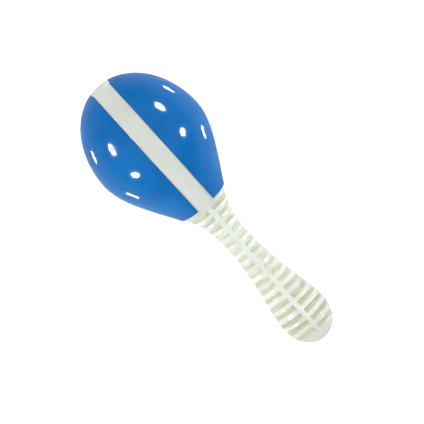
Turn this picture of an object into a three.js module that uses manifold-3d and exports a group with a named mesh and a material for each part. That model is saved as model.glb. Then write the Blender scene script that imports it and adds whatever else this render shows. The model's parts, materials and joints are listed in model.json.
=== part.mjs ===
// Toy maraca at rest on a level surface, in millimetres, +Z up.
//
// A hollow egg-shaped head is made of a left and a right shell with loose
// pellets inside. A front and a rear frame half close over it: each is one
// moulding with half of the band that runs over the crown, half of the collar
// and half of the openwork handle. +X runs from the crown towards the butt.
//
// Each piece is first shaped round the object's own long axis, where the
// station is the distance from the crown tip, y is sideways and z is frontward.
// The whole object is then tilted until the head and the butt both touch down.

import * as THREE from 'three';
import { mergeVertices } from 'three/addons/utils/BufferGeometryUtils.js';
import Module from 'manifold-3d';

const wasm = await Module();
wasm.setup();

// Driving dimensions.
const OVERALL_LENGTH = 200;
const HEAD_RADIUS = 36.7;
const HEAD_WIDEST = 46;
const LIP_STATION = 92.1;
const LIP_RADIUS = 16.5;
const CONE_ANGLE = THREE.MathUtils.degToRad(30);
const COLLAR_STATION = 92.4;
const COLLAR_RADIUS = 15.4;
const NECK_STATION = 118;
const NECK_RADIUS = 8.15;
const SWELL_STATION = 181.8;
const SWELL_RADIUS = 15.45;

const WALL = 1.8;
const GAP = 0.3;
const BAND_WIDTH = 12;
const BAND_THICKNESS = 1.8;
const SEAM_FLANGE = 1.6;
const STEP_WALL = 1.8;
const FACET_DEPTH = 0.45;

const PLUG_RADIUS = 11;
const PLUG_FLANGE_RADIUS = 13;
const PLUG_FLANGE_TOP = 86.4;
const PLUG_FLANGE_BOTTOM = 88.4;
const HOOK_THICKNESS = 2;

const POCKET_ROWS = 17;
const FIRST_POCKET = 95.2;
const POCKET_PITCH = 5.83;
const POCKET_HEIGHT = 2.9;
const SPINE_WIDTH = 3.4;
const WEB_THICKNESS = 2.4;

const PEG_LENGTH = 2.4;
const PEG_DEPTH_SPARE = 0.4;
const MIDDLE_RIB = 8;

const PELLET_RADIUS = 2;
const PELLET_SPACING = 4.7;
const PELLET_ROWS = [4, 5, 6, 5, 4];
const PELLET_POOL_STATION = 50;

const LATHE_SEGMENTS = 36;
const CURVE_STEPS = 7;
const PEG_SIDES = 16;
const LARGE = 120;

const SHELL_BLUE = new THREE.MeshStandardMaterial({ color: 0x1c6dc2, roughness: 0.12, metalness: 0 });
const FRAME_CREAM = new THREE.MeshStandardMaterial({ color: 0xe6e8da, roughness: 0.35, metalness: 0 });
const PELLET_GREY = new THREE.MeshStandardMaterial({ color: 0xb9b9b2, roughness: 0.5, metalness: 0 });

// Turns a closed geometry into a solid that can be joined and cut.
function solid(geometry) {
  geometry.deleteAttribute('normal');
  geometry.deleteAttribute('uv');
  const merged = mergeVertices(geometry, 1e-4);
  const triVerts = [];
  for (let i = 0; i < merged.index.count; i += 3) {
    const [a, b, c] = [0, 1, 2].map((corner) => merged.index.getX(i + corner));
    if (a !== b && b !== c && c !== a) triVerts.push(a, b, c);
  }
  return new wasm.Manifold(new wasm.Mesh({
    numProp: 3,
    vertProperties: new Float32Array(merged.attributes.position.array),
    triVerts: new Uint32Array(triVerts),
  }));
}

// Makes the named mesh of one finished solid.
function piece(name, body, material) {
  const result = body.getMesh();
  const geometry = new THREE.BufferGeometry();
  geometry.setAttribute('position', new THREE.BufferAttribute(result.vertProperties, 3));
  geometry.setIndex(new THREE.BufferAttribute(result.triVerts, 1));
  geometry.computeVertexNormals();
  const mesh = new THREE.Mesh(geometry, material);
  mesh.name = name;
  return mesh;
}

// Revolves a closed profile of (radius, station) points round the long axis.
function revolved(profile) {
  const geometry = new THREE.LatheGeometry(profile, LATHE_SEGMENTS);
  geometry.rotateZ(-Math.PI / 2);
  return solid(geometry);
}

// A box between two corners, each given as [station, y, z].
function block(low, high) {
  const size = high.map((value, axis) => value - low[axis]);
  const geometry = new THREE.BoxGeometry(...size);
  geometry.translate(...low.map((value, axis) => value + size[axis] / 2));
  return solid(geometry);
}

// The part of space within a half width of the middle plane, down to a station.
function slab(halfWidth, lastStation) {
  return block([-LARGE, -halfWidth, -LARGE], [lastStation, halfWidth, LARGE]);
}

// Adds the crown and the lower side of the head, ending on a cone at the given point.
function addHead(path, endRadius, endStation) {
  const shoulder = 13;
  const run = 22;
  path.moveTo(0, 0);
  path.absellipse(0, HEAD_WIDEST, HEAD_RADIUS, HEAD_WIDEST, -Math.PI / 2, 0, false);
  path.bezierCurveTo(
    HEAD_RADIUS, HEAD_WIDEST + shoulder,
    endRadius + run * Math.sin(CONE_ANGLE), endStation - run * Math.cos(CONE_ANGLE),
    endRadius, endStation,
  );
}

// Outer line of the shells, run on past the lip so that a plane can trim it.
function shellProfile() {
  const overrun = 3;
  const path = new THREE.Path();
  addHead(path, LIP_RADIUS, LIP_STATION);
  path.lineTo(LIP_RADIUS - overrun * Math.sin(CONE_ANGLE), LIP_STATION + overrun * Math.cos(CONE_ANGLE));
  return path.getPoints(CURVE_STEPS);
}

// Outer line of the frame: band over the head, collar, neck, swell and butt.
function frameProfile() {
  const collarRun = 9;
  const neckRun = 6;
  const gripRun = 35;
  const swellRun = 16;
  const path = new THREE.Path();
  addHead(path, COLLAR_RADIUS, COLLAR_STATION);
  path.bezierCurveTo(
    COLLAR_RADIUS - collarRun * Math.sin(CONE_ANGLE), COLLAR_STATION + collarRun * Math.cos(CONE_ANGLE),
    NECK_RADIUS, NECK_STATION - neckRun,
    NECK_RADIUS, NECK_STATION,
  );
  path.bezierCurveTo(
    NECK_RADIUS, NECK_STATION + gripRun,
    SWELL_RADIUS, SWELL_STATION - swellRun,
    SWELL_RADIUS, SWELL_STATION,
  );
  path.absellipse(0, SWELL_STATION, SWELL_RADIUS, OVERALL_LENGTH - SWELL_STATION, 0, Math.PI / 2, false);
  return path.getPoints(CURVE_STEPS);
}

// Moves a profile inward by a depth, square to its own direction. Its crown tip stays on the axis.
function inset(profile, depth) {
  return profile.map((point, index) => {
    if (index === 0) return new THREE.Vector2(0, point.y + depth);
    const before = profile[index - 1];
    const after = profile[Math.min(index + 1, profile.length - 1)];
    const along = after.clone().sub(before).normalize();
    return new THREE.Vector2(point.x - along.y * depth, point.y + along.x * depth);
  });
}

// The revolved layer between an outer and an inner profile that both start at the crown.
function layer(outer, inner) {
  return revolved([...outer, ...inner.slice().reverse()]);
}

// Radius of a profile at a station, between its own points.
function radiusAt(profile, station) {
  const next = profile.findIndex((point) => point.y > station);
  const [low, high] = [profile[next - 1], profile[next]];
  return THREE.MathUtils.mapLinear(station, low.y, high.y, low.x, high.x);
}

const shellLine = shellProfile();
const frameLine = frameProfile();
const bandRoot = (COLLAR_STATION + FIRST_POCKET) / 2;
const bandLine = [
  ...frameLine.filter((point) => point.y < COLLAR_STATION + GAP),
  new THREE.Vector2(radiusAt(frameLine, bandRoot), bandRoot),
];
const handleLine = frameLine.filter((point) => point.y >= COLLAR_STATION - GAP);
const channelDepth = BAND_THICKNESS + GAP;
const chamberDepth = channelDepth + SEAM_FLANGE;

// How far a profile reaches towards the surface when the object is tilted.
function reach(profile, tilt) {
  return Math.max(...profile.map((point) => point.y * Math.sin(tilt) + point.x * Math.cos(tilt)));
}

// The tilt at which the butt touches down with the facet cut to its depth.
function restTilt() {
  let low = 0;
  let high = Math.PI / 6;
  while (high - low > 1e-9) {
    const middle = (low + high) / 2;
    const headLower = reach(bandLine, middle) - FACET_DEPTH > reach(handleLine, middle);
    if (headLower) low = middle;
    else high = middle;
  }
  return low;
}

const tilt = restTilt();

// Everything that lies below the surface the object rests on.
function surface() {
  const down = new THREE.Vector3(Math.sin(tilt), 0, -Math.cos(tilt));
  const geometry = new THREE.BoxGeometry(2 * LARGE, LARGE, LARGE);
  geometry.rotateY(-tilt);
  const centre = down.multiplyScalar(reach(handleLine, tilt) + LARGE / 2);
  geometry.translate(...centre);
  return solid(geometry);
}

// One head shell: an outer wall, a sunk seam flange under the band with the
// step between them, and a lip that hooks into the groove round the plug.
function headShell(side) {
  const channelHalf = BAND_WIDTH / 2 + GAP;
  const chamberLine = inset(bandLine, chamberDepth);
  const wall = layer(shellLine, inset(shellLine, WALL));
  const thick = layer(shellLine, chamberLine).intersect(slab(channelHalf + STEP_WALL, LARGE));
  const channel = layer(inset(bandLine, -WALL), inset(bandLine, channelDepth)).intersect(slab(channelHalf, LARGE));
  const hookTop = PLUG_FLANGE_BOTTOM + GAP;
  const hookBottom = hookTop + HOOK_THICKNESS;
  const hookRadius = LIP_RADIUS - WALL / 2;
  const hook = revolved([
    new THREE.Vector2(PLUG_RADIUS + GAP, hookTop),
    new THREE.Vector2(hookRadius, hookTop),
    new THREE.Vector2(hookRadius, hookBottom),
    new THREE.Vector2(PLUG_RADIUS + GAP, hookBottom),
    new THREE.Vector2(PLUG_RADIUS + GAP, hookTop),
  ]);
  const near = side > 0 ? GAP / 2 : -LARGE;
  const far = side > 0 ? LARGE : -GAP / 2;
  const half = block([-LARGE, near, -LARGE], [LIP_STATION, far, LARGE]);
  return wall.add(thick).add(hook).subtract(channel).intersect(half);
}

// The stepped plug at the top of the collar, which closes the head and holds the shells.
function plug() {
  const rooted = COLLAR_STATION + GAP;
  return revolved([
    new THREE.Vector2(0, PLUG_FLANGE_TOP),
    new THREE.Vector2(PLUG_FLANGE_RADIUS, PLUG_FLANGE_TOP),
    new THREE.Vector2(PLUG_FLANGE_RADIUS, PLUG_FLANGE_BOTTOM),
    new THREE.Vector2(PLUG_RADIUS, PLUG_FLANGE_BOTTOM),
    new THREE.Vector2(PLUG_RADIUS, rooted),
    new THREE.Vector2(0, rooted),
  ]);
}

// All the grip pockets of one frame half, on both sides of its spine.
function pockets() {
  const cuts = [];
  for (let row = 0; row < POCKET_ROWS; row += 1) {
    const top = FIRST_POCKET + row * POCKET_PITCH;
    for (const inner of [SPINE_WIDTH / 2, -LARGE]) {
      const outer = inner > 0 ? LARGE : -SPINE_WIDTH / 2;
      cuts.push(block([top, inner, WEB_THICKNESS / 2], [top + POCKET_HEIGHT, outer, LARGE]));
    }
  }
  return cuts.reduce((all, cut) => all.add(cut));
}

// Pegs across the parting plane, each on both sides of the spine.
function pegs(spare) {
  const ribStation = FIRST_POCKET + (MIDDLE_RIB + 0.5) * POCKET_PITCH + POCKET_HEIGHT / 2;
  const places = [
    { station: (PLUG_FLANGE_BOTTOM + FIRST_POCKET) / 2, sideways: 7, radius: 1.3 },
    { station: ribStation, sideways: 5.5, radius: 0.8 },
    { station: OVERALL_LENGTH - 7, sideways: 6, radius: 1.5 },
  ];
  const height = 2 * PEG_LENGTH + 2 * spare;
  const pins = places.flatMap(({ station, sideways, radius }) => [-sideways, sideways].map((y) => {
    const geometry = new THREE.CylinderGeometry(radius + spare / 2, radius + spare / 2, height, PEG_SIDES);
    geometry.rotateX(Math.PI / 2);
    geometry.translate(station, y, 0);
    return solid(geometry);
  }));
  return pins.reduce((all, pin) => all.add(pin));
}

// The front half of the frame before its pegs: band, plug, collar and ribbed handle.
function frameHalf() {
  const closedHandle = [new THREE.Vector2(0, handleLine[0].y), ...handleLine];
  const band = layer(bandLine, inset(bandLine, BAND_THICKNESS)).intersect(slab(BAND_WIDTH / 2, LARGE));
  const front = block([-LARGE, -LARGE, GAP / 2], [2 * LARGE, LARGE, LARGE]);
  return revolved(closedHandle).subtract(pockets()).add(plug()).add(band).intersect(front);
}

// Pellet places in a single layer on the rear wall of the chamber.
function pelletPlaces() {
  const centreLine = inset(bandLine, chamberDepth + PELLET_RADIUS + GAP);
  const rowStep = PELLET_SPACING * Math.sin(Math.PI / 3);
  return PELLET_ROWS.flatMap((count, row) => {
    const y = (row - (PELLET_ROWS.length - 1) / 2) * rowStep;
    return Array.from({ length: count }, (_, index) => {
      const station = PELLET_POOL_STATION + (index - (count - 1) / 2) * PELLET_SPACING;
      const z = -Math.sqrt(radiusAt(centreLine, station) ** 2 - y ** 2);
      return new THREE.Vector3(station, y, z);
    });
  });
}

const maraca = new THREE.Group();
const half = frameHalf();
const rearHalf = half.mirror([0, 0, 1]).subtract(pegs(PEG_DEPTH_SPARE)).subtract(surface());
maraca.add(piece('front_frame', half.add(pegs(0)), FRAME_CREAM));
maraca.add(piece('rear_frame', rearHalf, FRAME_CREAM));
maraca.add(piece('left_head_shell', headShell(-1), SHELL_BLUE));
maraca.add(piece('right_head_shell', headShell(1), SHELL_BLUE));
pelletPlaces().forEach((place, index) => {
  const ball = solid(new THREE.IcosahedronGeometry(PELLET_RADIUS, 1));
  const pellet = piece(`pellet_${String(index + 1).padStart(2, '0')}`, ball, PELLET_GREY);
  pellet.position.copy(place);
  maraca.add(pellet);
});

// Stand the tilted object on z = 0 with the middle of its box at the origin.
maraca.rotation.y = tilt;
maraca.updateMatrixWorld(true);
const bounds = new THREE.Box3().setFromObject(maraca, true);
maraca.position.set(-(bounds.min.x + bounds.max.x) / 2, 0, -bounds.min.z);

export default maraca;
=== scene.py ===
import json
import math

import bmesh
import bpy
import numpy as np
from mathutils import Matrix, Vector


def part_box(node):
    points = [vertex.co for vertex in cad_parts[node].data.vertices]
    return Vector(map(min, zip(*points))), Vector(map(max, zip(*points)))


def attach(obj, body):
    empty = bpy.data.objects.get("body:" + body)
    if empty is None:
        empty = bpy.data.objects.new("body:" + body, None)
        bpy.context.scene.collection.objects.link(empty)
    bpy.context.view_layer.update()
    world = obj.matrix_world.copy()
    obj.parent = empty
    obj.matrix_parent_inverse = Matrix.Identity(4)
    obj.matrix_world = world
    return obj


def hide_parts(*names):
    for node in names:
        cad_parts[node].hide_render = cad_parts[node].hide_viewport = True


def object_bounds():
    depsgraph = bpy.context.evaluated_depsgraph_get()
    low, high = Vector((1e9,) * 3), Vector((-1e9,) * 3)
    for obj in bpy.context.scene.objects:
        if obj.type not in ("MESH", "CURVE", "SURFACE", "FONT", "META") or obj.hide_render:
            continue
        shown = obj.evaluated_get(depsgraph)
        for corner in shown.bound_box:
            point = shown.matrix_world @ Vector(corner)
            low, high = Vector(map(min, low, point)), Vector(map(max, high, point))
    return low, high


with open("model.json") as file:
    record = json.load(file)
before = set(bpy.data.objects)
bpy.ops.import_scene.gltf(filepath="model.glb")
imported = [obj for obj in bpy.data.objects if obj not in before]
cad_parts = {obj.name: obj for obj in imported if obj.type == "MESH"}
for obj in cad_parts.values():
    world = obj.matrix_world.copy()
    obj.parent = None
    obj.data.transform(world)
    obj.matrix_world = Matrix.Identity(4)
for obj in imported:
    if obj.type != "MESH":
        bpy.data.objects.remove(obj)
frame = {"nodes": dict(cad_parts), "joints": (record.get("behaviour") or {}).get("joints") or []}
CAD_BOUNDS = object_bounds()

# Sizes in millimetres in the toy's own frame: stations run along its axis from the crown,
# y runs to its right and z up out of the parting plane between the two frame halves.
HEAD_RADIUS = 36.7
HEAD_WIDEST = 46.0
HEAD_FLAT = 13.0
CONE_FLAT = 22.0
LIP_STATION, LIP_RADIUS = 92.1, 16.5
COLLAR_STATION, COLLAR_RADIUS = 92.4, 15.4
COLLAR_FLAT = 9.0
NECK_STATION, NECK_RADIUS = 118.0, 8.15
NECK_FLATS = (6.0, 35.0)
SWELL_STATION, SWELL_RADIUS = 181.8, 15.45
SWELL_FLAT = 16.0
TOY_LENGTH = 200.0
CONE_ANGLE = math.radians(30)
WALL = 1.8
CHANNEL = 6.3
OVERRUN = 3.0
BAND_HALF_WIDTH = 6.0
BAND_THICKNESS = 1.8
CHANNEL_DEPTH = 2.1
FLANGE_DEPTH = 3.7
FLANGE_EDGE = 0.15
SPINE = 1.7
WEB = 1.2
POCKET_COUNT, FIRST_POCKET, POCKET_PITCH, POCKET_LENGTH = 17, 95.2, 5.83, 2.9
PLUG_RADIUS, PLUG_FLANGE_RADIUS = 11.0, 13.0
PLUG_FLANGE = (86.4, 88.4)
PARTING = 0.06
ROUND = 0.35
FILLET = 0.3
HALF_TURN = math.pi / 2
# How far the middle of a quarter round lies from its ends, as a share of its radius.
BEND = 1 - math.sqrt(0.5)
SMOOTH_ANGLE = math.radians(50)
MERGE_DISTANCE, SLIVER = 4e-6, 2e-6


# ---------------------------------------------------------------- outlines

def bezier(a, b, c, d, steps=240):
    """Points of a cubic curve, without its first one."""
    t = np.linspace(0, 1, steps + 1)[1:, None]
    a, b, c, d = (np.array(p, float) for p in (a, b, c, d))
    return (1 - t) ** 3 * a + 3 * (1 - t) ** 2 * t * b + 3 * (1 - t) * t * t * c + t ** 3 * d


def head_line(station, radius):
    """(station, radius) points from the crown to the end of the cone."""
    turn = np.linspace(0, HALF_TURN, 420)
    egg = np.column_stack((HEAD_WIDEST * (1 - np.cos(turn)), HEAD_RADIUS * np.sin(turn)))
    along, across = CONE_FLAT * math.cos(CONE_ANGLE), CONE_FLAT * math.sin(CONE_ANGLE)
    cone = bezier(
        (HEAD_WIDEST, HEAD_RADIUS),
        (HEAD_WIDEST + HEAD_FLAT, HEAD_RADIUS),
        (station - along, radius + across),
        (station, radius),
    )
    return np.vstack((egg, cone))


def frame_outline():
    """The frame's outline: band over the head, neck, swelling grip and round butt."""
    head = head_line(COLLAR_STATION, COLLAR_RADIUS)
    along, across = COLLAR_FLAT * math.cos(CONE_ANGLE), COLLAR_FLAT * math.sin(CONE_ANGLE)
    neck = bezier(
        head[-1],
        (COLLAR_STATION + along, COLLAR_RADIUS - across),
        (NECK_STATION - NECK_FLATS[0], NECK_RADIUS),
        (NECK_STATION, NECK_RADIUS),
    )
    grip = bezier(
        neck[-1],
        (NECK_STATION + NECK_FLATS[1], NECK_RADIUS),
        (SWELL_STATION - SWELL_FLAT, SWELL_RADIUS),
        (SWELL_STATION, SWELL_RADIUS),
    )
    turn = np.linspace(0, HALF_TURN, 240)[1:]
    reach = TOY_LENGTH - SWELL_STATION
    butt = np.column_stack((SWELL_STATION + reach * np.sin(turn), SWELL_RADIUS * np.cos(turn)))
    return np.vstack((head, neck, grip, butt))


def shell_outline():
    """The shells' outline, run on past the lip so that its offsets can be cut square."""
    head = head_line(LIP_STATION, LIP_RADIUS)
    overrun = head[-1] + OVERRUN * np.array((math.cos(CONE_ANGLE), -math.sin(CONE_ANGLE)))
    return np.vstack((head, overrun))


def sunk(line, depth):
    """The line moved inward along its normal."""
    tangent = np.gradient(line, axis=0)
    tangent[0] = (0, 1)
    tangent /= np.linalg.norm(tangent, axis=1)[:, None]
    moved = line + depth * np.column_stack((tangent[:, 1], -tangent[:, 0]))
    return np.column_stack((moved[:, 0], np.maximum(moved[:, 1], 0)))


FRAME_LINE = frame_outline()
SHELL_LINE = shell_outline()


def frame_radius(station, depth=0.0):
    """The frame's radius at a station, on the surface that lies `depth` under its outline."""
    stations, radii = sunk(FRAME_LINE, depth).T
    return float(np.interp(station, stations, radii))


def cut(line, y, depth, rows, floor=0.0, end=LIP_STATION):
    """(station, z) points, evenly spaced, where the plane at y cuts a sunk surface of the head."""
    stations, radii = sunk(line, depth).T
    crown = stations <= HEAD_WIDEST
    first = math.hypot(y, floor)
    start = float(np.interp(first, radii[crown], stations[crown]))
    inside = (stations > start + 1e-6) & (stations < end - 1e-6)
    last = float(np.interp(end, stations, radii))
    u = np.concatenate(([start], stations[inside], [end]))
    r = np.concatenate(([first], radii[inside], [last]))
    z = np.sqrt(np.maximum(r * r - y * y, floor * floor))
    walked = np.concatenate(([0], np.cumsum(np.hypot(np.diff(u), np.diff(z)))))
    marks = np.linspace(0, walked[-1], rows + 1)
    return np.column_stack((np.interp(marks, walked, u), np.interp(marks, walked, z)))


# ---------------------------------------------------------------- placing

# The toy's axis slopes down to the butt, as the pellets' joints slope from the vertical.
TILT = math.atan2(frame["joints"][0]["axis"][0], frame["joints"][0]["axis"][2])


def toy_placement():
    """The matrix from the toy's frame in millimetres to the row frame in metres."""
    low = CAD_BOUNDS[0] * 1000
    c, s = math.cos(TILT), math.sin(TILT)
    crown_reach = math.hypot(HEAD_WIDEST * c, HEAD_RADIUS * s) - HEAD_WIDEST * c
    butt_drop = math.hypot((TOY_LENGTH - SWELL_STATION) * s, SWELL_RADIUS * c)
    origin = Vector((low.x + crown_reach, 0, low.z + SWELL_STATION * s + butt_drop))
    turn = Matrix.Rotation(TILT, 4, "Y")
    return Matrix.Scale(0.001, 4) @ Matrix.Translation(origin) @ turn


PLACE = toy_placement()


# ---------------------------------------------------------------- meshes

def points(stations, ys, zs, recess=0.0):
    """A row or grid of points, each with its recess: up to 1 in a pocket, -1 on the band's rounded
    edge, where a highlight is painted.
    """
    return np.stack(np.broadcast_arrays(stations, ys, zs, recess), axis=-1).astype(float)


def mirrored(grid, axis):
    """The grid mirrored in y (1) or z (2)."""
    other = grid.copy()
    other[..., axis] *= -1
    return other


def join_rows(mesh, verts):
    """Faces between the rows of a grid of vertices."""
    for above, below in zip(verts, verts[1:]):
        for k in range(len(above) - 1):
            mesh.faces.new((above[k], above[k + 1], below[k + 1], below[k]))


def finished(name, mesh):
    """A smooth object of the mesh, with its normals turned outward."""
    bmesh.ops.recalc_face_normals(mesh, faces=mesh.faces)
    data = bpy.data.meshes.new(name)
    mesh.to_mesh(data)
    mesh.free()
    data.shade_smooth()
    made = bpy.data.objects.new(name, data)
    bpy.context.scene.collection.objects.link(made)
    return made


def weld(name, grids, polygons=(), rest_on_floor=False):
    """One object from grids of points and single polygons, welded where they meet."""
    mesh = bmesh.new()
    recess = mesh.verts.layers.float.new("recess")

    def vertex(p):
        place = PLACE @ Vector(p[:3])
        if rest_on_floor:
            place.z = max(place.z, CAD_BOUNDS[0].z)
        made = mesh.verts.new(place)
        made[recess] = p[3]
        return made

    for grid in grids:
        join_rows(mesh, [[vertex(p) for p in row] for row in grid])
    for polygon in polygons:
        mesh.faces.new([vertex(p) for p in polygon])
    bmesh.ops.remove_doubles(mesh, verts=mesh.verts, dist=MERGE_DISTANCE)
    bmesh.ops.dissolve_degenerate(mesh, edges=mesh.edges, dist=SLIVER)
    made = finished(name, mesh)
    made.data.set_sharp_from_angle(angle=SMOOTH_ANGLE)
    return made


# ---------------------------------------------------------------- head shells

SHELL_ROWS = 96
SHELL_COLUMNS = 56
# (y, depth) of the lines along the seam, from the outer skin to the inner one.
SHELL_BORDER = (
    (CHANNEL + ROUND, 0.0),
    (CHANNEL + 0.5 * ROUND, 0.05 * ROUND),
    (CHANNEL + 0.13 * ROUND, 0.5 * ROUND),
    (CHANNEL, ROUND),
    (CHANNEL, CHANNEL_DEPTH),
    (FLANGE_EDGE, CHANNEL_DEPTH),
    (FLANGE_EDGE, FLANGE_DEPTH),
    (CHANNEL + WALL, FLANGE_DEPTH),
    (CHANNEL + WALL, WALL),
)


def border_cut(y, depth):
    """The cut at y from the crown to the lip, short of the lip's rounding on the skin."""
    end = LIP_STATION if depth else LIP_STATION - ROUND
    return cut(SHELL_LINE, y, depth, SHELL_ROWS, end=end)


def half_hoop(station, radius, y):
    """Points round one shell at a station, from its front edge at y to its rear edge."""
    edge = math.asin(min(1, y / radius))
    turn = np.linspace(edge, math.pi - edge, SHELL_COLUMNS + 1)
    return points(station, radius * np.sin(turn), radius * np.cos(turn))


def shell_skin(y, depth):
    """The shell's inner or outer surface between its front and rear edges."""
    return np.array([half_hoop(u, math.hypot(y, z), y) for u, z in border_cut(y, depth)])


def shell_border():
    """The strips along the seam: rounded edge, channel wall, flange and step."""
    strips = []
    for y, depth in SHELL_BORDER:
        u, z = border_cut(y, depth).T
        stations, heights = np.concatenate((u[::-1], u[1:])), np.concatenate((z[::-1], -z[1:]))
        strips.append(points(stations, y, heights))
    return np.array(strips)


def shell_lip(outer, inner):
    """The rounded lip and the end face between the two skins."""
    rows = [outer[-1]]
    for turn in np.radians((30, 60, 90)):
        depth = ROUND * (1 - math.cos(turn))
        station = LIP_STATION - ROUND * (1 - math.sin(turn))
        radius = float(np.interp(station, *sunk(SHELL_LINE, depth).T))
        rows.append(half_hoop(station, radius, SHELL_BORDER[0][0]))
    rows.append(inner[-1])
    return np.array(rows)


def head_shell(side, name):
    """One half of the head, at the left (side -1) or the right (side 1) of the band."""
    outer = shell_skin(*SHELL_BORDER[0])
    inner = shell_skin(*SHELL_BORDER[-1])
    border = shell_border()
    lip = shell_lip(outer, inner)
    ends = [np.vstack((border[:, k], lip[1:-1, k][::-1])) for k in (0, -1)]
    grids = [outer, border, lip, inner]
    if side < 0:
        grids = [mirrored(g, 1) for g in grids]
        ends = [mirrored(g, 1) for g in ends]
    return weld(name, grids, ends)


# ---------------------------------------------------------------- frame halves

# The columns of one side of a row: y on the crest out to the band's edge, then evenly spaced
# flank columns, then the last heights over the parting plane, where the edge is rounded.
CREST = np.array((0, 0.6, 1.2, 1.45, SPINE, 1.95, 2.6, 3.5, 4.6))
CREST = np.append(CREST, BAND_HALF_WIDTH - ROUND * np.array((1.0, 0.29, 0.0)))
FLANK_COLUMNS = 11
SEAM_HEIGHTS = np.array((0.4, 0.16, 0.0))
SEAM_DEPTHS = (0.07, 0.2)
# The share of the edge rounding's depth that each of those columns is sunk by.
EDGE_SHARE = np.array([0.0] * 10 + [0.29] + [1.0] * 14)
# A pocket's recess is 1 at this depth.
DEEPEST = 9.0
# Exponents of the soft corners at the spine's foot and at the rim. A low one is rounder.
SPINE_CORNER, RIM_CORNER = 6, 26
BAND_ROWS = 90
BUTT_ROWS = 17
CAP_START = FIRST_POCKET + (POCKET_COUNT - 1) * POCKET_PITCH + POCKET_LENGTH


def spread(radii):
    """Angles from the crest to the parting plane for one side of a row, one for each column."""
    crest = np.arcsin(CREST / radii[: len(CREST)])
    seam = np.arccos(SEAM_HEIGHTS / radii[-1])
    flank = np.linspace(crest[-1], seam[0], FLANK_COLUMNS + 1)[1:]
    return np.concatenate((crest, flank, seam[1:]))


def pocket_floor(turn, radius):
    """Distance from the axis to the spine's side or the web, in a pocket, with soft corners."""
    side = SPINE / np.maximum(np.sin(turn), 1e-3)
    web = WEB / np.maximum(np.cos(turn), 1e-3)
    sharp, soft = RIM_CORNER, SPINE_CORNER
    inner = (np.minimum(side, 1e3) ** soft + np.minimum(web, 1e3) ** soft) ** (1 / soft)
    return radius * (1 + (radius / inner) ** sharp) ** (-1 / sharp)


def both_sides(half):
    """A row from its left seam to its right one, from the right half of it."""
    return np.concatenate((mirrored(half, 1)[:0:-1], half))


def ring(station, depth=0.0, lift=math.inf):
    """A row of the handle, `depth` under the outline and at most `lift` over the pocket floor."""
    radius = frame_radius(station)
    turn = spread(np.full(len(EDGE_SHARE), frame_radius(min(station, CAP_START))))
    reach = np.full(len(turn), radius)
    if depth:
        floor = pocket_floor(turn, radius)
        reach = np.clip(np.minimum(frame_radius(station, depth), floor + lift), floor, radius)
    # The recess sets how much painted light the frame material puts into a pocket.
    recess = np.clip((radius - reach) / DEEPEST, 0, 1)
    reach[-2:] -= np.minimum(SEAM_DEPTHS, 0.9 * radius)
    z = np.maximum(reach * np.cos(turn), PARTING)
    return both_sides(points(station, reach * np.sin(turn), z, recess))


def collar_ring(station, depth):
    """A row of the collar's rounded rim, which fades out under the band."""
    radii = np.array([frame_radius(station, depth * share) for share in EDGE_SHARE])
    turn = spread(radii)
    radii[-2:] -= SEAM_DEPTHS
    z = np.maximum(radii * np.cos(turn), PARTING)
    return both_sides(points(station, radii * np.sin(turn), z))


def hoop(station, radius):
    """A plain half hoop with the same columns, for the end face and the plug."""
    turn = spread(np.full(len(EDGE_SHARE), frame_radius(COLLAR_STATION, BAND_THICKNESS)))
    z = np.maximum(radius * np.cos(turn), PARTING)
    return both_sides(points(station, radius * np.sin(turn), z))


def wall_rows(station, side):
    """Rows from a rib's top, over its rounded edge, down to the pocket's filleted floor."""
    return [
        ring(station - side * ROUND),
        ring(station - side * BEND * ROUND, BEND * ROUND),
        ring(station, ROUND),
        ring(station, ROUND, FILLET),
        ring(station + side * BEND * FILLET, ROUND, BEND * FILLET),
        ring(station + side * FILLET, ROUND, 0.0),
    ]


def handle_rows():
    """All rows from the collar's rim to the butt."""
    rows = [
        collar_ring(COLLAR_STATION, ROUND),
        collar_ring(COLLAR_STATION + BEND * ROUND, BEND * ROUND),
        ring(COLLAR_STATION + ROUND),
        ring((COLLAR_STATION + FIRST_POCKET) / 2),
    ]
    for k in range(POCKET_COUNT):
        start = FIRST_POCKET + k * POCKET_PITCH
        rows += wall_rows(start, 1)
        rows.append(ring(start + POCKET_LENGTH / 2, ROUND, 0.0))
        rows += wall_rows(start + POCKET_LENGTH, -1)[::-1]
        if k < POCKET_COUNT - 1:
            rows.append(ring(start + (POCKET_LENGTH + POCKET_PITCH) / 2))
    reach = TOY_LENGTH - SWELL_STATION
    first = math.asin((CAP_START + ROUND - SWELL_STATION) / reach)
    for turn in np.linspace(first, HALF_TURN, BUTT_ROWS + 1)[1:]:
        rows.append(ring(SWELL_STATION + reach * math.sin(turn)))
    return rows


def plug_rows():
    """Rows from the collar's end face to the middle of the plug's own end."""
    return [
        hoop(COLLAR_STATION, PLUG_RADIUS),
        hoop(PLUG_FLANGE[1], PLUG_RADIUS),
        hoop(PLUG_FLANGE[1], PLUG_FLANGE_RADIUS),
        hoop(PLUG_FLANGE[0], PLUG_FLANGE_RADIUS),
        hoop(PLUG_FLANGE[0], 0.0),
    ]


def band_column(y, depth):
    """One line of the band along the toy, eased over at its cut end on the crown."""
    on_top = depth < BAND_THICKNESS
    starts = []
    for extra, height in zip((*SEAM_DEPTHS[::-1], 0.0), (PARTING, *SEAM_HEIGHTS[1::-1])):
        ease = extra if on_top else 0.0
        line = cut(FRAME_LINE, y, depth + ease, BAND_ROWS, height, COLLAR_STATION)
        starts.append(line[0])
    line = np.vstack((starts[:2], line))
    # On the band's top the recess is negative at the rounded edges, which the frame material
    # paints with a lighter line as a highlight.
    return points(line[:, 0], y, line[:, 1], -depth / ROUND if on_top else 0.0)


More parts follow.
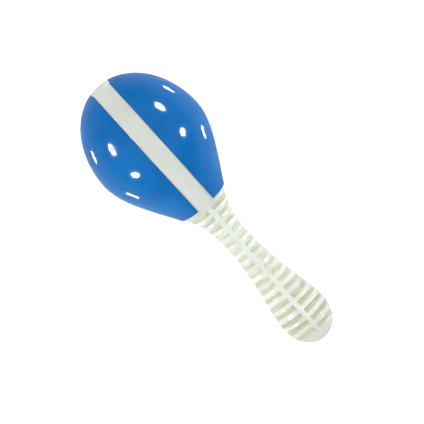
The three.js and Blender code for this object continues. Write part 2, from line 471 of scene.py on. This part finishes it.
def band_grids():
    """The band's top, its two sides and its underside, from the crown to the collar."""
    shares = EDGE_SHARE[: len(CREST)]
    ys = np.concatenate((-CREST[:0:-1], CREST))
    depths = ROUND * np.concatenate((shares[:0:-1], shares))
    top = np.array([band_column(y, d) for y, d in zip(ys, depths)])
    under = np.array([band_column(y, BAND_THICKNESS) for y in ys])
    sides = [np.array((top[k], under[k])) for k in (0, -1)]
    end = np.array((top[:, 0], under[:, 0]))
    return [top, under, *sides, end]


def frame_half(side, name):
    """Half of the frame: the band over the head and the handle half with its pockets."""
    handle = handle_rows()
    rim = hoop(COLLAR_STATION, frame_radius(COLLAR_STATION, BAND_THICKNESS))
    edge = (len(rim) - 1) // 2 - len(CREST) + 1
    plug = np.array([rim, *plug_rows()])
    face = np.array((handle[0], rim))
    grids = [np.array(handle), plug, face[:, : edge + 1], face[:, -edge - 1 :], *band_grids()]
    rows = np.array([*plug[::-1], *handle])
    grids.append(np.stack((rows[:, 0], rows[:, -1]), axis=1))
    if side < 0:
        grids = [mirrored(g, 2) for g in grids]
    return weld(name, grids, rest_on_floor=side < 0)


# ---------------------------------------------------------------- pellets

# Shares of the bead's radius, and the widths of the ridge and the gate mark in radians.
BEAD_RADIUS, BEAD_RIDGE, BEAD_GATE, BEAD_WOBBLE = 0.972, 0.022, 0.03, 0.004
RIDGE_WIDTH, GATE_WIDTH = 0.05, 0.22
BEAD_ROWS, BEAD_COLUMNS = 26, 32


def bead(name, node, seed):
    """A moulded bead with a parting ridge and a flattened gate mark, turned by its seed."""
    low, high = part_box(node)
    size = (high - low).x / 2
    turn = np.radians(np.linspace(0, 180, BEAD_ROWS + 1))
    reach = BEAD_RADIUS + BEAD_RIDGE * np.exp(-(((turn - HALF_TURN) / RIDGE_WIDTH) ** 2))
    reach -= BEAD_GATE * np.exp(-((turn / GATE_WIDTH) ** 2))
    around = np.radians(np.linspace(0, 360, BEAD_COLUMNS + 1))
    wobble = 1 + BEAD_WOBBLE * np.sin(2 * around + seed)
    flat = size * np.outer(reach * np.sin(turn), wobble)
    spin = Matrix.Rotation(seed * 1.7, 3, "Y") @ Matrix.Rotation(seed * 0.9, 3, "X")
    centre = (low + high) / 2
    mesh = bmesh.new()
    join_rows(mesh, [
        [
            mesh.verts.new(centre + spin @ Vector((r * math.cos(a), r * math.sin(a), z)))
            for r, a in zip(row, around)
        ]
        for row, z in zip(flat, size * reach * np.cos(turn))
    ])
    bmesh.ops.remove_doubles(mesh, verts=mesh.verts, dist=SLIVER)
    return finished(name, mesh)


# ---------------------------------------------------------------- materials

class Graph:
    """A material's nodes. A socket given as an input is linked, any other value is set."""

    def __init__(self, name):
        self.material = bpy.data.materials.new(name)
        self.material.use_nodes = True
        self.tree = self.material.node_tree
        self.tree.nodes.clear()

    def add(self, kind, inputs=None, **settings):
        made = self.tree.nodes.new(kind)
        for key, value in settings.items():
            setattr(made, key, value)
        for key, value in (inputs or {}).items():
            if isinstance(value, bpy.types.NodeSocket):
                self.tree.links.new(value, made.inputs[key])
            else:
                made.inputs[key].default_value = value
        return made

    def noise(self, scale, detail=4.0, roughness=0.55, squeeze=(1, 1, 1)):
        """Noise over the toy, with `scale` in blotches for each metre."""
        place = self.add("ShaderNodeTexCoord").outputs["Object"]
        moved = self.add("ShaderNodeMapping", {"Vector": place, "Scale": squeeze}).outputs[0]
        inputs = {"Vector": moved, "Scale": scale, "Detail": detail, "Roughness": roughness}
        return self.add("ShaderNodeTexNoise", inputs).outputs["Fac"]

    def ramp(self, value, low, high, to_low=0.0, to_high=1.0):
        """The value mapped smoothly from one range to another."""
        inputs = {0: value, 1: low, 2: high, 3: to_low, 4: to_high}
        made = self.add("ShaderNodeMapRange", inputs, interpolation_type="SMOOTHSTEP")
        return made.outputs[0]

    def blend(self, share, first, second):
        inputs = {0: share, 6: first, 7: second}
        return self.add("ShaderNodeMix", inputs, data_type="RGBA").outputs[2]

    def math(self, operation, first, second):
        return self.add("ShaderNodeMath", {0: first, 1: second}, operation=operation).outputs[0]

    def bump(self, height, distance, strength=1.0, normal=None):
        inputs = {"Height": height, "Distance": distance, "Strength": strength}
        if normal:
            inputs["Normal"] = normal
        return self.add("ShaderNodeBump", inputs).outputs[0]

    def finish(self, inputs):
        shader = self.add("ShaderNodeBsdfPrincipled", inputs)
        self.add("ShaderNodeOutputMaterial", {"Surface": shader.outputs[0]})
        return self.material


def colour(red, green, blue):
    """A linear colour from the three 0-255 values of a screen colour."""
    parts = [v / 255 for v in (red, green, blue)]
    return [v / 12.92 if v <= 0.04045 else ((v + 0.055) / 1.055) ** 2.4 for v in parts] + [1.0]


def scratches(graph, scale, squeeze, low, high):
    """Thin marks: the peaks of a noise stretched along the toy."""
    return graph.ramp(graph.noise(scale, 2.0, 0.5, squeeze), low, high)


def shell_material():
    """Blue plastic with a gloss coat: mottled colour, peel, hairline scratches, handling haze."""
    g = Graph("shell blue plastic")
    mottle = g.ramp(g.noise(38, 3.0), 0.35, 0.65)
    base = g.blend(mottle, colour(14, 104, 178), colour(18, 112, 186))
    haze = g.ramp(g.noise(95, 6.0, 0.7), 0.55, 0.78)
    base = g.blend(g.math("MULTIPLY", haze, 0.1), base, colour(90, 160, 215))
    marks = scratches(g, 420, (0.08, 1.0, 1.0), 0.67, 0.74)
    rough = g.math("ADD", g.math("MULTIPLY", haze, 0.1), g.math("MULTIPLY", marks, 0.16))
    peel = g.bump(g.noise(90, 2.0, 0.4), 0.000003)
    worn = g.bump(marks, 0.000006, 0.6, peel)
    return g.finish({
        "Base Color": base,
        "Roughness": g.math("ADD", rough, 0.3),
        "Specular IOR Level": 0.0,
        "Coat Weight": 0.3,
        "Coat IOR": 1.5,
        "Coat Roughness": 0.1,
        "Normal": worn,
    })


def frame_material():
    """Cream plastic that lets a little light through, with painted pale yellow-green pockets.

    The pockets' colour is painted paler than the ribs' so that the light lost in them doesn't
    show, and its yellow-green tint is painted light standing in for light that comes through the
    plastic.
    """
    g = Graph("frame cream plastic")
    recess = g.add("ShaderNodeAttribute", attribute_name="recess").outputs["Fac"]
    mottle = g.ramp(g.noise(60, 4.0), 0.3, 0.7)
    base = g.blend(mottle, colour(216, 221, 213), colour(222, 226, 219))
    grime = g.ramp(g.noise(240, 8.0, 0.75), 0.56, 0.8)
    base = g.blend(g.math("MULTIPLY", grime, 0.22), base, colour(176, 176, 152))
    # Painted light: by their depth the pockets are painted paler and yellow-green, to lift the
    # shade in them and stand in for light through the plastic.
    base = g.blend(g.ramp(recess, 0.0, 0.12), base, colour(232, 237, 214))
    base = g.blend(g.ramp(recess, 0.1, 1.0), base, colour(254, 255, 236))
    # Painted highlight: a lighter line along the band's rounded edges, where the recess is
    # negative.
    base = g.blend(g.ramp(recess, -1.0, -0.2, 1.0, 0.0), base, colour(246, 249, 244))
    marks = scratches(g, 520, (0.1, 1.0, 1.0), 0.68, 0.76)
    rough = g.math("ADD", g.math("MULTIPLY", grime, 0.12), g.math("MULTIPLY", marks, -0.1))
    grain = g.bump(g.noise(900, 3.0, 0.6), 0.000012)
    return g.finish({
        "Base Color": base,
        "Roughness": g.math("ADD", rough, 0.42),
        "Specular IOR Level": 0.0,
        "Coat Weight": 0.35,
        "Coat IOR": 1.5,
        "Coat Roughness": 0.14,
        "Subsurface Weight": 0.9,
        "Subsurface Radius": (1.0, 1.0, 1.0),
        "Subsurface Scale": 0.003,
        "Normal": g.bump(marks, 0.000005, 0.5, grain),
    })


def pellet_material():
    """Grey nylon beads: speckled, dull, scuffed where they knock together."""
    g = Graph("pellet grey nylon")
    speckle = g.ramp(g.noise(1800, 3.0), 0.4, 0.62)
    base = g.blend(speckle, colour(150, 152, 150), colour(186, 188, 184))
    scuff = g.ramp(g.noise(700, 6.0, 0.7), 0.5, 0.7)
    return g.finish({
        "Base Color": g.blend(g.math("MULTIPLY", scuff, 0.4), base, colour(205, 206, 202)),
        "Roughness": g.math("ADD", g.math("MULTIPLY", scuff, 0.2), 0.38),
        "Normal": g.bump(g.noise(1300, 4.0), 0.00002),
    })


def table_material():
    """A white matt tabletop lit from within."""
    g = Graph("white tabletop")
    cloud = g.ramp(g.noise(3, 2.0), 0.3, 0.7)
    base = g.blend(cloud, (0.86, 0.86, 0.86, 1), (0.9, 0.9, 0.9, 1))
    return g.finish({
        "Base Color": base,
        "Roughness": 0.75,
        "Specular IOR Level": 0.15,
        "Emission Color": (1, 1, 1, 1),
        "Emission Strength": 0.38,
    })


# ---------------------------------------------------------------- the toy

def dress(made, material, slot, body, *nodes):
    """The look of CAD nodes, riding their body."""
    made.data.materials.append(material)
    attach(made, body)
    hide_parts(*nodes)


def build_toy():
    """Both shells, both frame halves and the beads."""
    blue, cream, grey = shell_material(), frame_material(), pellet_material()
    for side, word in ((-1, "left"), (1, "right")):
        made = head_shell(side, f"{word}_shell")
        dress(made, blue, "shell_blue", "maraca", f"{word}_head_shell")
    for side, word in ((1, "front"), (-1, "rear")):
        made = frame_half(side, f"{word}_half")
        dress(made, cream, "frame_cream", "maraca", f"{word}_frame")
    for seed, body in enumerate(sorted(n for n in frame["nodes"] if n.startswith("pellet_"))):
        dress(bead(f"bead_{body[-2:]}", body, seed), grey, "pellet_grey", body, body)


# ---------------------------------------------------------------- floor, light and camera

HEAD_CENTRE = PLACE @ Vector((HEAD_WIDEST, 0, 0))
TABLE_SIZE = 40
CAMERA_HEIGHT, CAMERA_ROLL = 2.5, math.radians(47.8)
SENSOR_WIDTH = 36
# The picture is this many metres wide at the height of the head's middle.
VIEW_WIDTH, VIEW_PLANE = 0.2476, 0.037


def tabletop():
    """A wide tabletop that the toy rests on."""
    bpy.ops.mesh.primitive_plane_add(size=TABLE_SIZE, location=(0, 0, CAD_BOUNDS[0].z))
    floor = bpy.context.object
    floor.name = "tabletop"
    floor.data.materials.append(table_material())


def lamp(name, place, sizes, radiance, spread=180, aim=HEAD_CENTRE):
    """An elliptical lamp aimed at the head or another place, unseen by the camera."""
    data = bpy.data.lights.new(name, "AREA")
    data.shape = "ELLIPSE"
    data.size, data.size_y = sizes
    data.energy = radiance * math.pi ** 2 * sizes[0] * sizes[1] / 4
    data.spread = math.radians(spread)
    made = bpy.data.objects.new(name, data)
    bpy.context.scene.collection.objects.link(made)
    made.location = place
    made.rotation_euler = (aim - place).to_track_quat("-Z", "Y").to_euler()
    made.visible_camera = False
    return made


def four_lamps(name, distance, height, lamps, radiance, spread=180):
    """Lamps of given bearings and sizes at both sides of the head."""
    made = []
    for side in (-1, 1):
        for bearing, *sizes in lamps:
            turn = math.radians(bearing)
            reach = Vector((math.sin(turn), side * math.cos(turn), 0)) * distance
            place = Vector((HEAD_CENTRE.x + reach.x, reach.y, height))
            made.append(lamp(name, place, sizes, radiance, spread))
    return made


SIDE_DISTANCE, SIDE_HEIGHT = 0.78, 0.385
LOW_DISTANCE, LOW_HEIGHT = 0.113, 0.006
# Bearing from the head's side in degrees, then the lamp's two sizes in metres.
SIDE_LAMPS = ((-20, 0.13, 0.13), (23, 0.13, 0.13))
ROUND_LAMPS = ((-20, 0.18, 0.15), (23, 0.2, 0.16))
LOW_LAMPS = ((-22.5, 0.022, 0.006), (27.5, 0.022, 0.006))
OVERHEAD = Vector((0, 0, 2.2))
GRIP = Vector((0.07, 0, 0))
OVER_GRIP = GRIP + Vector((0, 0, 0.9))


def studio_lamps():
    """Soft lamps that only shade the toy and small ones that the gloss mirrors as bright spots."""
    soft = four_lamps("side_lamp", SIDE_DISTANCE, SIDE_HEIGHT, SIDE_LAMPS, 0.71, spread=24)
    soft.append(lamp("overhead_lamp", OVERHEAD, (0.4, 0.4), 21.0))
    soft.append(lamp("grip_lamp", OVER_GRIP, (0.05, 0.05), 2.6, spread=16, aim=GRIP))
    for made in soft:
        made.visible_glossy = False
    spots = four_lamps("round_lamp", SIDE_DISTANCE, SIDE_HEIGHT, ROUND_LAMPS, 250.0)
    spots += four_lamps("low_lamp", LOW_DISTANCE, LOW_HEIGHT, LOW_LAMPS, 40.0, spread=60)
    for made in spots:
        made.visible_diffuse = False


# From and to which height of the direction, and the brightness at both ends.
WALL_RAMP, CEILING_RAMP = (0.0, 0.05, 0.85, 0.25), (0.3, 0.8, 0.0, 0.42)


def soft_room():
    """A pale ceiling over dim walls, with a pale backdrop under the horizon.

    A wall and a ceiling brightness, each a ramp over the height of the direction, are added.
    """
    world = bpy.data.worlds.new("soft room")
    bpy.context.scene.world = world
    world.use_nodes = True
    tree = world.node_tree
    tree.nodes.clear()
    place = tree.nodes.new("ShaderNodeTexCoord")
    split = tree.nodes.new("ShaderNodeSeparateXYZ")
    wall, ceiling = (tree.nodes.new("ShaderNodeMapRange") for _ in range(2))
    both = tree.nodes.new("ShaderNodeMath")
    sky = tree.nodes.new("ShaderNodeBackground")
    out = tree.nodes.new("ShaderNodeOutputWorld")
    tree.links.new(place.outputs["Generated"], split.inputs[0])
    for part, ramp, socket in zip((wall, ceiling), (WALL_RAMP, CEILING_RAMP), both.inputs):
        for key, value in enumerate(ramp, 1):
            part.inputs[key].default_value = value
        part.interpolation_type = "SMOOTHSTEP"
        tree.links.new(split.outputs["Z"], part.inputs[0])
        tree.links.new(part.outputs[0], socket)
    tree.links.new(both.outputs[0], sky.inputs["Strength"])
    tree.links.new(sky.outputs[0], out.inputs["Surface"])
    sky.inputs["Color"].default_value = (1, 1, 1, 1)


def camera():
    """Straight above the toy, turned so that the handle points to the lower right."""
    data = bpy.data.cameras.new("camera")
    data.sensor_width = SENSOR_WIDTH
    data.lens = SENSOR_WIDTH * (CAMERA_HEIGHT - VIEW_PLANE) / VIEW_WIDTH
    data.clip_start, data.clip_end = 0.1, 20
    made = bpy.data.objects.new("camera", data)
    bpy.context.scene.collection.objects.link(made)
    made.location = (0, 0, CAMERA_HEIGHT)
    made.rotation_euler = (0, 0, CAMERA_ROLL)
    bpy.context.scene.camera = made


build_toy()
tabletop()
studio_lamps()
soft_room()
camera()
bpy.context.scene.view_settings.view_transform = "Standard"
bpy.context.view_layer.update()
